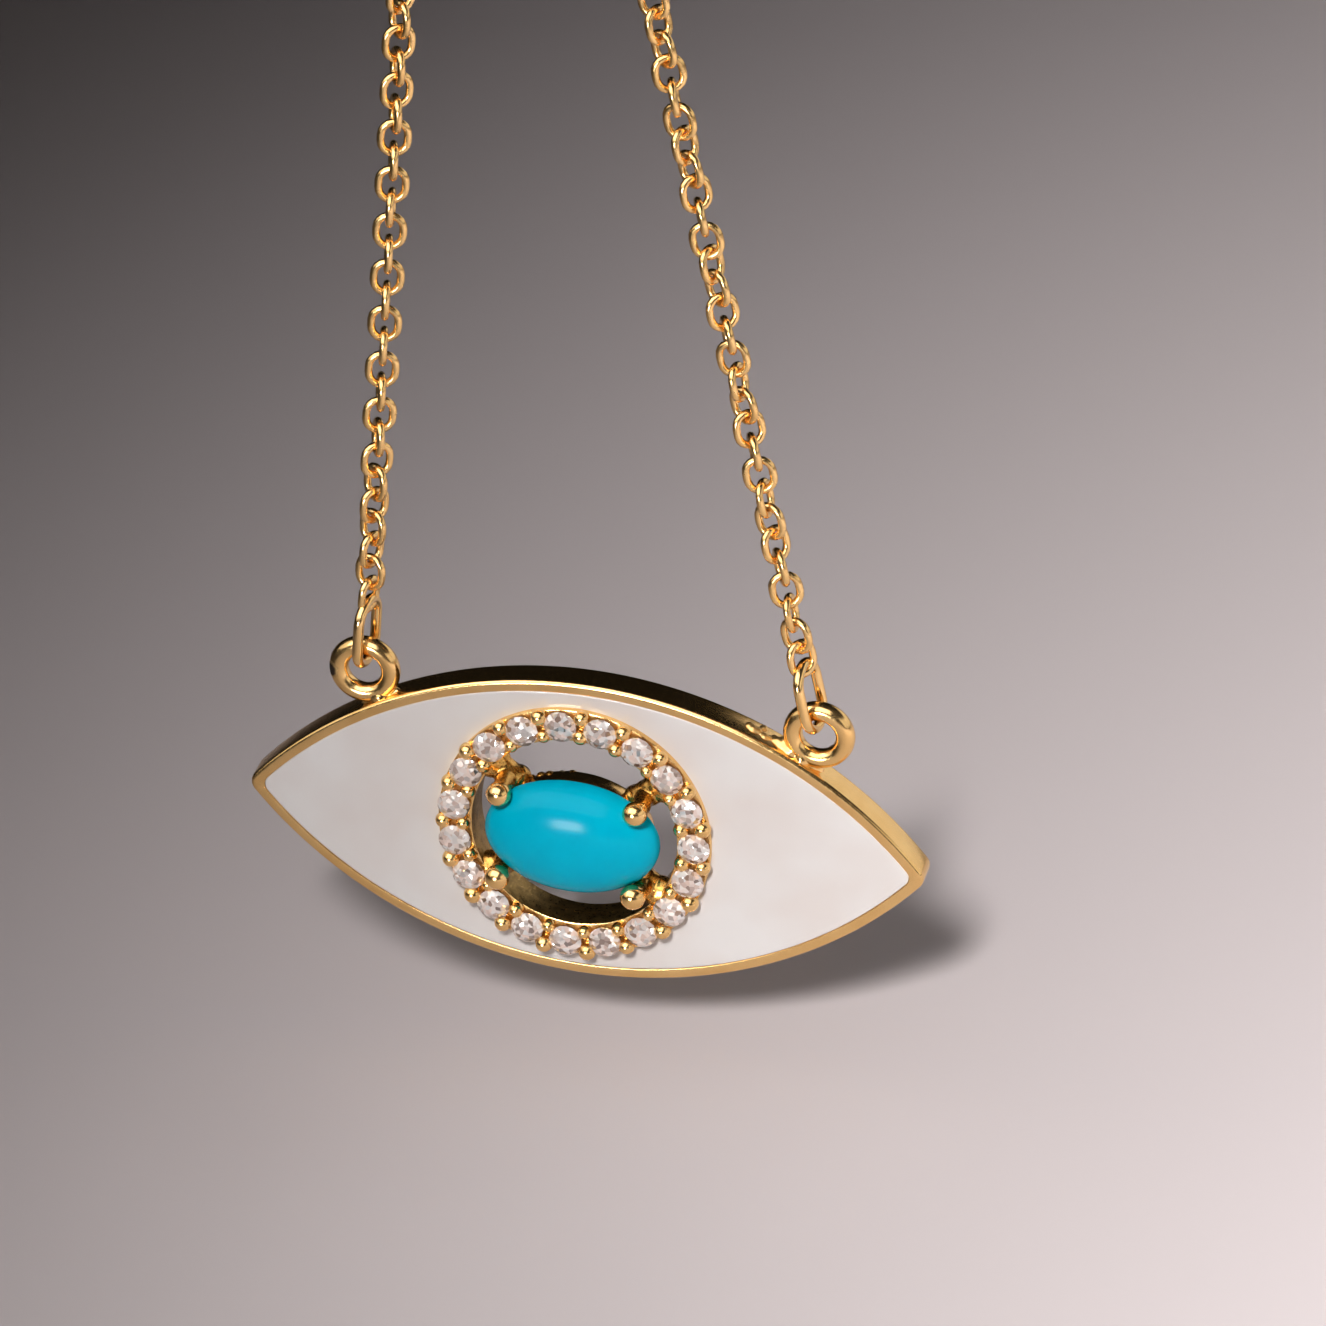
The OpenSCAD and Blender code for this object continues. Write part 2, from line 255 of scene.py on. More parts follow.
def outline(eye):
    """Radius of the eye's two arcs, and how far their centres lie from its middle."""
    radius = ((eye.eye_length / 2) ** 2 + (eye.eye_height / 2) ** 2) / eye.eye_height
    return radius, radius - eye.eye_height / 2


def ring_centre(side):
    """The middle of a soldered ring, laid out flat."""
    eye, rings = in_mm("eye", "rings")
    radius, drop = outline(eye)
    reach = radius + rings.ring + rings.ring_stand
    return Vector((side * rings.ring_x, sqrt(reach**2 - rings.ring_x**2) - drop, -eye.face_depth))


def bearing(side):
    """The point in a soldered ring's wire that its jump ring bears on, where it hangs."""
    eye, rings, chain = in_mm("eye", "rings", "chain")
    turn = radians(90) + side * chain.lean + eye.tilt
    return hung(eye) @ (ring_centre(side) + rings.ring * Vector((cos(turn), sin(turn), 0)))


# Shapes, all in millimetres

def trace(bm, start, moves):
    """Draws a profile in the plane x = 0. A move is a straight step, or a turn about a point."""
    last = bm.verts.new((0, *start))
    for move in moves:
        if move[0] == "step":
            next_vert = bm.verts.new(last.co + Vector((0, *move[1])))
            bm.edges.new((last, next_vert))
            last = next_vert
        else:
            _, centre, degrees, steps = move
            made = bmesh.ops.spin(
                bm, geom=[last], cent=(0, *centre), axis=(1, 0, 0), angle=radians(degrees), steps=steps
            )
            last = made["geom_last"][0]
    bm.verts.ensure_lookup_table()


def sweep_round_eye(bm, radius, drop, tip_round):
    """Sweeps the profile that stands over the middle of the upper arc all round the eye's outline."""
    tip_x = sqrt((radius - tip_round) ** 2 - drop**2)
    half = asin(tip_x / (radius - tip_round))
    profile = bm.verts[:] + bm.edges[:]
    bmesh.ops.rotate(bm, verts=bm.verts[:], cent=(0, -drop, 0), matrix=Matrix.Rotation(half, 3, "Z"))
    turns = (
        ((0, -drop, 0), 2 * half, ARC_STEPS),
        ((tip_x, 0, 0), pi - 2 * half, TIP_STEPS),
        ((0, drop, 0), 2 * half, ARC_STEPS),
        ((-tip_x, 0, 0), pi - 2 * half, TIP_STEPS),
    )
    for centre, turn, count in turns:
        made = bmesh.ops.spin(bm, geom=profile, cent=centre, axis=UP, angle=-turn, steps=count)
        profile = made["geom_last"]
    bmesh.ops.remove_doubles(bm, verts=bm.verts[:], dist=WELD)


def close(bm):
    """Joins the points that meet, and turns the faces outwards."""
    bmesh.ops.remove_doubles(bm, verts=bm.verts[:], dist=WELD)
    bmesh.ops.recalc_face_normals(bm, faces=bm.faces[:])


def open_edges(bm, z):
    """The edges at height z that have a face on one side or on none."""
    return [
        e for e in bm.edges
        if len(e.link_faces) < 2 and all(abs(v.co.z - z) < WELD for v in e.verts)
    ]


def sharp_edges(bm, degrees):
    """The edges where two faces turn by more than an angle."""
    limit = radians(degrees)
    return [e for e in bm.edges if len(e.link_faces) == 2 and e.calc_face_angle() > limit]


def round_edges(bm, edges, width, steps, keep_apart=False):
    """Rounds some edges."""
    bmesh.ops.bevel(
        bm, geom=edges, offset=width, segments=steps, profile=0.5, affect="EDGES", material=-1,
        clamp_overlap=keep_apart,
    )


def pull(bm, edges, shift):
    """Draws a wall from some edges, and gives the vertices and the edges at its far side."""
    made = bmesh.ops.extrude_edge_only(bm, edges=edges)["geom"]
    verts = [v for v in made if isinstance(v, bmesh.types.BMVert)]
    bmesh.ops.translate(bm, verts=verts, vec=shift)
    far = set(verts)
    return verts, [e for e in made if isinstance(e, bmesh.types.BMEdge) and set(e.verts) <= far]


def add_circle(bm, radius, segments, place):
    """A bare circle, put in place: its vertices and its edges."""
    verts = bmesh.ops.create_circle(bm, radius=radius, segments=segments, matrix=place)["verts"]
    own = set(verts)
    return verts, [e for e in bm.edges if set(e.verts) <= own]


def pierce(bm, middle, radius, levels):
    """Closes the outline at each level round a hole, and joins the holes by a wall."""
    holes = []
    for z in levels:
        level = Matrix.Translation(middle + Vector((0, 0, z)))
        holes += add_circle(bm, radius, HOLE_STEPS, level)[1]
        bmesh.ops.triangle_fill(bm, use_beauty=True, edges=open_edges(bm, z), normal=UP)
    bmesh.ops.bridge_loops(bm, edges=holes)


def line_hole(bm, middle, radius):
    """Gives the second material to the walls of the hole round a point."""
    bm.normal_update()
    for face in bm.faces:
        apart = (face.calc_center_median().xy - middle).length
        if apart < radius + LAP and abs(face.normal.z) < 0.5:
            face.material_index = 1


def wire_ring(bm, radius, wire, sides, place, steps=RING_STEPS):
    """A ring of round wire about the Z axis, put in place."""
    before = set(bm.verts)
    start, loop = add_circle(bm, wire, sides, Matrix.Translation((radius, 0, 0)) @ UPRIGHT)
    bmesh.ops.spin(bm, geom=start + loop, cent=(0, 0, 0), axis=UP, angle=tau, steps=steps, use_merge=True)
    verts = [v for v in bm.verts if v not in before]
    bmesh.ops.transform(bm, matrix=place, verts=verts)


def wire_oval(oval_length, oval_width, wire, bends, sides):
    """An upright oval of round wire in the XZ plane about its own middle, as a mesh."""
    bm = bmesh.new()
    bend = oval_width / 2 - wire
    half_straight = (oval_length - oval_width) / 2
    loop = add_circle(bm, wire, sides, Matrix.Translation((bend, 0, -half_straight)))[1]
    for way in (1, -1):
        verts, edges = pull(bm, loop, (0, 0, way * 2 * half_straight))
        spun = bmesh.ops.spin(
            bm, geom=verts + edges, cent=(0, 0, way * half_straight), axis=(0, 1, 0), angle=-pi, steps=bends
        )
        loop = [e for e in spun["geom_last"] if isinstance(e, bmesh.types.BMEdge)]
    close(bm)
    return to_mesh(bm, "oval")


def add_ball(bm, centre, radius, flat=1.0, fine=3):
    """A ball, or one flattened across the face."""
    place = Matrix.Translation(centre) @ Matrix.Diagonal((1, 1, flat, 1))
    bmesh.ops.create_icosphere(bm, subdivisions=fine, radius=radius, matrix=place)


def add_rod(bm, start, end, radius, end_radius):
    """A round rod between two points."""
    along = end - start
    place = Matrix.Translation((start + end) / 2) @ along.to_track_quat("Z", "Y").to_matrix().to_4x4()
    bmesh.ops.create_cone(
        bm, cap_ends=True, segments=24, radius1=radius, radius2=end_radius, depth=along.length, matrix=place
    )


def to_mesh(bm, name):
    """Makes a shape a mesh, and frees it."""
    mesh = bpy.data.meshes.new(name)
    bm.to_mesh(mesh)
    bm.free()
    return mesh


def add_mesh(bm, mesh):
    """Adds a mesh to a shape, and removes it."""
    bm.from_mesh(mesh)
    bpy.data.meshes.remove(mesh)


def add_object(name, mesh):
    """A new object in the scene."""
    made = bpy.data.objects.new(name, mesh)
    bpy.context.scene.collection.objects.link(made)
    return made


def fuse(bm, voxel, smoothing):
    """Melts overlapping closed shapes into one skin with soft hollows, as solder leaves them."""
    mesh = to_mesh(bm, "melt")
    lump = add_object("melt", mesh)
    remesh = lump.modifiers.new("skin", "REMESH")
    remesh.mode = "VOXEL"
    remesh.voxel_size = voxel
    soften = lump.modifiers.new("soften", "SMOOTH")
    soften.factor = 0.5
    soften.iterations = smoothing
    fused = bmesh.new()
    fused.from_object(lump, bpy.context.evaluated_depsgraph_get())
    bpy.data.objects.remove(lump)
    bpy.data.meshes.remove(mesh)
    return fused


def roughen(bm, amount, scale, seed):
    """Pushes the points of a rough casting in and out by a little."""
    bm.normal_update()
    shift = Vector((seed * 3.7, seed * 1.3, seed * 2.1))
    for v in bm.verts:
        v.co += v.normal * amount * noise.noise(v.co * scale + shift)


def make_piece(
    name, bm, place, material, lining=None, sharp=35, body=PENDANT_BODY, slot="gold", node="eye_frame"
):
    """Closes a shape made in millimetres and makes it a piece that rides on a body."""
    close(bm)
    mesh = to_mesh(bm, name)
    mesh.transform(TO_METRES @ place)
    mesh.shade_smooth()
    mesh.set_sharp_from_angle(angle=radians(sharp))
    mesh.materials.append(material)
    if lining:
        mesh.materials.append(lining)
    piece = add_object(name, mesh)
    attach(piece, body)
    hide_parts(node)
    return piece


# Materials

def feed(tree, node, values):
    """Gives the inputs of a node their values or links."""
    for socket, value in values.items():
        if isinstance(value, bpy.types.NodeSocket):
            tree.links.new(value, node.inputs[socket])
        else:
            node.inputs[socket].default_value = value
    return node


def add_node(tree, kind, values, **settings):
    """A node with its settings and the values or links of its inputs."""
    node = tree.nodes.new("ShaderNode" + kind)
    for name, value in settings.items():
        setattr(node, name, value)
    return feed(tree, node, values)


def add_noise(tree, place, scale, detail, **values):
    """Noise over the surface, from 0 to 1."""
    given = {"Vector": place, "Scale": scale, "Detail": detail, **values}
    return add_node(tree, "TexNoise", given).outputs["Fac"]


def mix_colours(tree, factor, first, second):
    """The colour between two others."""
    return add_node(tree, "Mix", {0: factor, 6: first, 7: second}, data_type="RGBA").outputs[2]


def maths(tree, operation, *values):
    """What a sum of values comes to."""
    return add_node(tree, "Math", dict(enumerate(values)), operation=operation).outputs[0]


def spread(tree, value, low, high, new_low, new_high):
    """A value moved from one range to another."""
    values = {"Value": value, "From Min": low, "From Max": high, "To Min": new_low, "To Max": new_high}
    return add_node(tree, "MapRange", values).outputs["Result"]


def new_group(name, outputs, inputs):
    """An empty shader group with named outputs and inputs. An input is a place, a colour or a number."""
    group = bpy.data.node_groups.new(name, "ShaderNodeTree")
    for socket, value in inputs.items():
        kind = "Vector" if value is None else "Color" if isinstance(value, tuple) else "Float"
        made = group.interface.new_socket(socket, in_out="INPUT", socket_type="NodeSocket" + kind)
        if value is not None:
            made.default_value = value
    for socket, kind in outputs.items():
        group.interface.new_socket(socket, in_out="OUTPUT", socket_type="NodeSocket" + kind)
    return group, group.nodes.new("NodeGroupInput").outputs, group.nodes.new("NodeGroupOutput")


def place_group(tree, name, build, values):
    """A shader group as a node with its values. The group is built when it is first placed."""
    node = tree.nodes.new("ShaderNodeGroup")
    node.node_tree = bpy.data.node_groups.get(name) or build(name)
    return feed(tree, node, values).outputs


def worn_metal_group(name):
    """Soft clouds of deeper tone, a fine grain and a low relief over metal."""
    outputs = {"Color": "Color", "Roughness": "Float", "Height": "Float"}
    tree, given, out = new_group(name, outputs, {
        "Position": None, "Bright": (1, 1, 1, 1), "Deep": (1, 1, 1, 1), "Cloud scale": 600.0,
        "Grain scale": 9000.0, "Smooth": 0.16, "Rough": 0.3, "Deep share": 0.4,
    })
    cloud = add_noise(tree, given["Position"], given["Cloud scale"], 4.0)
    grain = add_noise(tree, given["Position"], given["Grain scale"], 3.0)
    tone = spread(tree, cloud, 0.4, 0.75, 0.0, 1.0)
    share = maths(tree, "MULTIPLY", tone, given["Deep share"])
    feed(tree, out, {
        "Color": mix_colours(tree, share, given["Bright"], given["Deep"]),
        "Roughness": spread(tree, grain, 0.35, 0.7, given["Smooth"], given["Rough"]),
        "Height": maths(tree, "MULTIPLY_ADD", grain, 0.35, cloud),
    })
    return tree


def stain_group(name):
    """A ragged patch round a point."""
    tree, given, out = new_group(name, {"Mask": "Float"}, {
        "Position": None, "Centre": None, "Radius": 0.0004, "Softness": 0.0002, "Ragged": 0.0003,
        "Scale": 2500.0,
    })
    places = {0: given["Position"], 1: given["Centre"]}
    apart = add_node(tree, "VectorMath", places, operation="DISTANCE").outputs["Value"]
    cloud = add_noise(tree, given["Position"], given["Scale"], 3.0)
    jagged = maths(tree, "MULTIPLY_ADD", cloud, given["Ragged"], apart)
    far = maths(tree, "ADD", given["Radius"], given["Softness"])
    feed(tree, out, {"Mask": spread(tree, jagged, given["Radius"], far, 1.0, 0.0)})
    return tree


def new_material(name, look):
    """A material with one Principled shader, whose plain numbers are given by name."""
    material = bpy.data.materials.new(name)
    material.use_nodes = True
    tree = material.node_tree
    shader = next(n for n in tree.nodes if n.type == "BSDF_PRINCIPLED")
    feed(tree, shader, look)
    return material, tree, shader, add_node(tree, "TexCoord", {}).outputs["Object"]


def finish(name, factor=1.0):
    """One of the finishes' colours times a factor, with full alpha."""
    return (*(c * factor for c in getattr(bpy.context.scene.pendant_finishes, name)), 1.0)


def dress(tree, shader, shade, matt, height, strength, depth):
    """Gives a shader its colour, its roughness and a relief."""
    bump = add_node(tree, "Bump", {"Height": height, "Strength": strength, "Distance": depth})
    feed(tree, shader, {"Base Color": shade, "Roughness": matt, "Normal": bump.outputs["Normal"]})


# Each gold: its roughness where it is smoothest and roughest, the strength of its relief, how much of the
# deeper tone it takes on, and the scale of that tone's clouds
GOLDS = {
    "Satin gold": (0.14, 0.26, 0.1, 0.4, 600.0),
    "Beaded gold": (0.16, 0.28, 0.15, 0.5, 1100.0),
    "Claw gold": (0.14, 0.26, 0.1, 0.6, 900.0),
    # The bars under the stone: deeper, darker gold as painted shade
    "Solder gold": (0.2, 0.36, 0.3, 0.9, 1300.0),
    "Rough solder": (0.3, 0.5, 1.0, 0.6, 2500.0),
    # The hole's walls: rough, with painted shade in their darkened colour
    "Cast wall": (0.26, 0.5, 1.0, 1.0, 2200.0),
    "Ring gold": (0.15, 0.26, 0.05, 0.4, 600.0),
    "Wire gold": (0.12, 0.22, 0.05, 0.25, 600.0),
    "Chain gold": (0.2, 0.28, 0.015, 0.3, 900.0),
    "Clasp gold": (0.08, 0.18, 0.05, 0.25, 600.0),
}


def gold_material(name, stains_and_shade=(), bright="gold", deep="gold_deep", painted_shade_darken=1.0):
    """Gold with worn metal over it and dark patches, each given as its centre, radius and ragged edge: real
    tarnish and solder, and painted shade where a caller lays them in a deep gap.
    """
    smooth, rough, relief, deep_share, cloud_scale = GOLDS[name]
    material, tree, shader, place = new_material(name, {"Metallic": 1.0})
    metal = place_group(tree, "Worn metal", worn_metal_group, {
        "Position": place, "Bright": finish(bright), "Deep": finish(deep, painted_shade_darken),
        "Cloud scale": cloud_scale, "Smooth": smooth, "Rough": rough, "Deep share": deep_share,
    })
    shade, matt = metal["Color"], metal["Roughness"]
    for centre, radius, ragged in stains_and_shade:
        mask = place_group(tree, "Stain", stain_group, {
            "Position": place, "Centre": [c / PER_METRE for c in centre], "Radius": radius / PER_METRE,
            "Softness": 0.4 * radius / PER_METRE, "Ragged": ragged / PER_METRE,
        })["Mask"]
        # Each patch paints in the stain colour: real tarnish and solder, and painted shade where it lies in
        # a deep gap
        shade = mix_colours(tree, mask, shade, finish("stain"))
        matt = add_node(tree, "Mix", {0: mask, 2: matt, 3: 0.55}).outputs[0]
    dress(tree, shader, shade, matt, metal["Height"], relief, 0.00002)
    return material


def shaded_wall_material():
    """Rough gold, as it came from the mould, with painted shade: its colour is darkened gold, for the walls
    of the hole under the halo.
    """
    return gold_material("Cast wall", bright="gold_painted_shade", deep="gold_painted_shade", painted_shade_darken=0.45)


def enamel_material():
    """Glossy off-white glass enamel, a little uneven and cloudy."""
    look = {"Roughness": 0.14, "Coat Weight": 0.5, "Coat Roughness": 0.05, "IOR": 1.52}
    material, tree, shader, place = new_material("Enamel", look)
    cloud = add_noise(tree, place, 260.0, 2.0)
    speck = add_noise(tree, place, 2600.0, 2.0)
    tone = spread(tree, cloud, 0.35, 0.7, 0.0, 1.0)
    shade = mix_colours(tree, tone, finish("enamel"), finish("enamel_warm"))
    dress(tree, shader, shade, spread(tree, speck, 0.3, 0.8, 0.1, 0.2), cloud, 0.5, 0.0001)
    return material


def turquoise_material():
    """Even, polished turquoise with a faint cloud of deeper blue."""
    look = {"Roughness": 0.16, "IOR": 1.5, "Specular IOR Level": 0.08}
    material, tree, shader, place = new_material("Turquoise", look)
    cloud = add_noise(tree, place, 500.0, 4.0, Roughness=0.6)
    tone = spread(tree, cloud, 0.35, 0.75, 0.0, 1.0)
    shade = mix_colours(tree, tone, finish("turquoise"), finish("turquoise_deep"))
    dress(tree, shader, shade, spread(tree, cloud, 0.3, 0.7, 0.12, 0.2), cloud, 0.15, 0.00003)
    return material


def diamond_material():
    """Clear cut stone with painted reflections: white, pink and brown painted into its colour stand in for
    the light that its facets throw back from within.
    """
    look = {"Transmission Weight": 0.12, "IOR": 2.42, "Roughness": 0.0, "Metallic": 0.0}
    material, tree, shader, place = new_material("Cut stone", look)
    # Painted reflections: cells of white, pink and brown, a share of them painted dark, stand in for light
    # thrown back inside the stone
    cells = add_node(tree, "TexVoronoi", {"Vector": place, "Scale": 5000.0}).outputs["Color"]
    split = add_node(tree, "SeparateColor", {"Color": cells}).outputs
    tint = mix_colours(tree, split["Red"], (1.0, 0.98, 0.95, 1.0), (0.9, 0.68, 0.57, 1.0))
    dark = spread(tree, split["Green"], 0.5, 1.0, 0.0, 0.95)
    shade = mix_colours(tree, dark, tint, (0.3, 0.19, 0.14, 1.0))
    way = add_node(tree, "NewGeometry", {}).outputs["Normal"]
    turn = add_node(tree, "VectorMath", {0: cells, 1: (0.5, 0.5, 0.5)}, operation="SUBTRACT").outputs[0]
    turn = add_node(tree, "VectorMath", {0: turn, "Scale": 1.1}, operation="SCALE").outputs[0]
    way = add_node(tree, "VectorMath", {0: way, 1: turn}, operation="ADD").outputs[0]
    way = add_node(tree, "VectorMath", {0: way}, operation="NORMALIZE").outputs[0]
    feed(tree, shader, {"Base Color": shade, "Normal": way})
    return material


def floor_material():
    """Matt pale floor with a faint mottle."""
    look = {"Roughness": 0.7, "Specular IOR Level": 0.0}
    material, tree, shader, place = new_material("Pale floor", look)
    cloud = add_noise(tree, place, 12.0, 3.0)
    shade = mix_colours(tree, cloud, finish("floor"), finish("floor", 0.95))
    feed(tree, shader, {"Base Color": shade})
    return material


# The pieces

class PENDANT_OT_cell(Operator):
    """Gold cell that holds the enamel: rim, wall and back, with a hole under the halo"""

    bl_idname = "pendant.cell"
    bl_label = "Frame cell"

    def execute(self, context):
        eye, halo = in_mm("eye", "halo")
        radius, drop = outline(eye)
        field = radius - eye.rim_width
        floor = -eye.enamel_thickness - LAP
        top = radius - drop
        lip = 0.03

        outer = bmesh.new()
        trace(outer, (top - eye.back_round, -eye.depth), (
            ("turn", (top - eye.back_round, eye.back_round - eye.depth), 90, 4),
            ("step", (0, eye.depth - eye.back_round - eye.rim_round)),
            ("turn", (top - eye.rim_round, -eye.rim_round), 90, 8),
        ))
        sweep_round_eye(outer, radius, drop, eye.tip_round)
        inner = bmesh.new()
        trace(inner, (field - drop + lip, 0), (
            ("turn", (field - drop + lip, -lip), 90, 3),
            ("step", (0, floor + lip)),
        ))
        sweep_round_eye(inner, field, drop, eye.field_tip_round)
        add_mesh(outer, to_mesh(inner, "inner wall"))

        bmesh.ops.bridge_loops(outer, edges=open_edges(outer, 0))
        middle = Vector((halo.offset, 0, 0))
        pierce(outer, middle, halo.inner, (floor, -eye.depth))
        line_hole(outer, middle.xy, halo.inner)
        # Rough solder on the upper wall beside the right ring
        stain = hung(eye) @ Vector((7.9, 5.55, -0.8)), 0.25, 0.35
        gold = gold_material("Satin gold", [stain])
        make_piece("frame_cell", outer, hung(eye), gold, shaded_wall_material(), sharp=40)
        return {"FINISHED"}


def halo_sector(halo, bottom):
    """The ring's share for one stone, with its seat."""
    bm = bmesh.new()
    half = pi / halo.stones
    seat_depth, seat_foot = 0.61, 0.12
    sides = []
    for radius, steps in ((halo.inner, 6), (halo.outer, 8)):
        first = bm.verts.new((radius * cos(half), -radius * sin(half), halo.rise))
        made = bmesh.ops.spin(bm, geom=[first], cent=(0, 0, 0), axis=UP, angle=2 * half, steps=steps)
        arc = [e for e in bm.edges if all(abs(v.co.xy.length - radius) < WELD for v in e.verts)]
        sides.append((first, made["geom_last"][0], arc))
    bm.edges.new((sides[0][0], sides[1][0]))
    bm.edges.new((sides[0][1], sides[1][1]))
    seat = add_circle(bm, halo.seat, SEAT_STEPS, Matrix.Translation((halo.circle, 0, halo.rise)))[1]
    bmesh.ops.triangle_fill(bm, use_beauty=True, edges=bm.edges[:], normal=UP)
    for _, _, arc in sides:
        pull(bm, arc, (0, 0, bottom - halo.rise))
    verts, edges = pull(bm, seat, (0, 0, -seat_depth))
    space = Matrix.Translation((-halo.circle, 0, 0))
    bmesh.ops.scale(bm, verts=verts, vec=(seat_foot, seat_foot, 1), space=space)
    bmesh.ops.contextual_create(bm, geom=edges)
    return bm


def add_beads(bm, halo, step):
    """Two beads between each pair of stones, none quite like the next."""
    chance = random.Random(7)
    for k in range(halo.stones):
        for side, size in ((1, halo.outer_bead), (-1, halo.inner_bead)):
            a = (k + 0.5) * step + chance.uniform(-0.012, 0.012)
            r = halo.circle + side * (halo.bead_offset + chance.uniform(-0.02, 0.03))
            centre = (r * cos(a), r * sin(a), halo.rise + halo.bead_lift)
            add_ball(bm, centre, size * chance.uniform(0.92, 1.08), flat=chance.uniform(0.95, 1.15))


class PENDANT_OT_halo(Operator):
    """Halo ring with a round seat for each stone, and the beads that hold the stones"""

    bl_idname = "pendant.halo"
    bl_label = "Halo and beads"

    def execute(self, context):
        eye, halo = in_mm("eye", "halo")
        bm = halo_sector(halo, -eye.enamel_thickness - 2 * LAP)
        step = tau / halo.stones
        bmesh.ops.spin(
            bm, geom=bm.verts[:] + bm.edges[:] + bm.faces[:], cent=(0, 0, 0), axis=UP,
            angle=step * (halo.stones - 1), steps=halo.stones - 1, use_duplicate=True,
        )
        close(bm)
        round_edges(bm, sharp_edges(bm, 35), halo.edge, steps=2, keep_apart=True)
        line_hole(bm, Vector((0, 0)), halo.inner)
        add_beads(bm, halo, step)
        turn = Matrix.Translation((halo.offset, 0, 0)) @ Matrix.Rotation(halo.first_stone, 4, "Z")
        make_piece("halo_ring", bm, hung(eye) @ turn, gold_material("Beaded gold"), shaded_wall_material())
        return {"FINISHED"}


def claw_bars(halo, centre, corners, rail_low, ball_z, chance):
    """The claws' rods and the bars out to the halo, with lumps of solder on them and on the rail."""
    bm = bmesh.new()
    lean = atan2(centre.claw_y, centre.claw_x)
    for sx, sy in corners:
        foot = Vector((sx * centre.claw_x, sy * centre.claw_y, rail_low + 0.1))
        tip = Vector((foot.x, foot.y, ball_z))
        add_rod(bm, foot, tip, centre.claw * 1.1, centre.claw * 0.9)
        out = Vector((sx * cos(lean), sy * sin(lean), 0))
        level = Vector((foot.x, foot.y, rail_low + centre.bar - 0.12))
        wall = level + out * (halo.inner + 0.25 - foot.xy.length)
        add_rod(bm, level - out * 0.5, wall, centre.bar, centre.bar)
        add_ball(bm, wall - out * 0.15, centre.bar * 1.35, flat=0.85)
        for spot in (level - out * 0.45, level + out * 0.35):
            lump = Vector([chance.uniform(-0.15, 0.15) for _ in range(3)])
            add_ball(bm, spot + lump, centre.bar * chance.uniform(0.85, 1.1))
    for k in range(6):
        a = radians(96 + 8 * k)
        spot = (3.5 * cos(a), 2.3 * sin(a), rail_low + chance.uniform(-0.05, 0.12))
        add_ball(bm, spot, chance.uniform(0.16, 0.26))
    return bm


def add_rail(bm, centre, low):
    """The oval rail, a smooth low wall just inside the stone's outline."""
    wall = bmesh.new()
    loops = []
    for inset in (0, centre.rail_wall):
        verts, edges = add_circle(wall, 1, RING_STEPS, Matrix.Translation((0, 0, low)))
        half_length = centre.stone_length / 2 - centre.rail_inset - centre.rail_short - inset
        half_width = centre.stone_width / 2 - centre.rail_inset - inset
        bmesh.ops.scale(wall, verts=verts, vec=(half_length, half_width, 1))
        loops += edges
    faces = bmesh.ops.bridge_loops(wall, edges=loops)["faces"]
    made = bmesh.ops.extrude_face_region(wall, geom=faces, use_keep_orig=True)["geom"]
    top = [v for v in made if isinstance(v, bmesh.types.BMVert)]
    bmesh.ops.translate(wall, verts=top, vec=(0, 0, centre.rail_height))
    bmesh.ops.recalc_face_normals(wall, faces=wall.faces[:])
    round_edges(wall, sharp_edges(wall, 60), width=0.05, steps=2)
    add_mesh(bm, to_mesh(wall, "rail"))


class PENDANT_OT_gallery(Operator):
    """Open rail under the oval stone, four claws with ball tips, and the rough bars that carry them"""

    bl_idname = "pendant.gallery"
    bl_label = "Gallery and claws"

    def execute(self, context):
        eye, halo, centre = in_mm("eye", "halo", "centre")
        under_stone, over_edge = 0.03, 0.85
        rail_low = centre.base - under_stone - centre.rail_height
        ball_z = centre.base + centre.edge + over_edge
        corners = [(sx, sy) for sx in (-1, 1) for sy in (-1, 1)]
        chance = random.Random(11)
        bm = claw_bars(halo, centre, corners, rail_low, ball_z, chance)
        bm = fuse(bm, voxel=0.045, smoothing=6)
        roughen(bm, amount=0.05, scale=2.5, seed=3)
        for face in bm.faces:
            face.material_index = 1
        add_rail(bm, centre, rail_low)
        for sx, sy in corners:
            ball = Vector((sx * (centre.claw_x - 0.06) - 0.08, sy * (centre.claw_y - 0.1), ball_z))
            add_ball(bm, ball, centre.ball * chance.uniform(0.96, 1.04), flat=0.95, fine=4)

        place = hung(eye) @ Matrix.Translation((halo.offset, 0, 0))
        # Painted shade: dark patches low under the stone's upper edge, in the deep gap there
        dark = [(place @ Vector((x, y, z)), radius, 0.5) for x, y, z, radius in (
            (-1.7, 2.4, rail_low - 0.1, 0.45), (-0.8, 2.5, rail_low - 0.1, 0.4),
            (-2.5, 2.3, rail_low, 0.5), (3.2, 2.7, rail_low, 0.4),
        )]
        # Painted shade: the bars under the stone take a deeper, darker gold
        painted_shade_amber = gold_material("Solder gold", dark, bright="gold_deep", painted_shade_darken=0.6)
        make_piece("gallery", bm, place, gold_material("Claw gold", dark), painted_shade_amber, sharp=60)
        return {"FINISHED"}


class PENDANT_OT_enamel(Operator):
    """Off-white enamel in the cell, with a hole for the halo and a soft edge"""

    bl_idname = "pendant.enamel"
    bl_label = "Enamel"

    def execute(self, context):
        eye, halo = in_mm("eye", "halo")
        radius, drop = outline(eye)
        gap, soft, border = 0.012, 0.05, 0.08
        field = radius - eye.rim_width - gap
        top = field - drop
        level = -0.01
        bottom = -eye.enamel_thickness
        bm = bmesh.new()
        trace(bm, (top, bottom), (
            ("step", (0, level - soft - bottom)),
            ("turn", (top - soft, level - soft), 90, 4),
            ("step", (-border, 0)),
        ))
        sweep_round_eye(bm, field, drop, eye.field_tip_round)
        pierce(bm, Vector((halo.offset, 0, 0)), halo.outer - LAP, (level, bottom))
        make_piece("enamel_plate", bm, hung(eye), enamel_material(), slot="enamel", node="enamel")
        return {"FINISHED"}


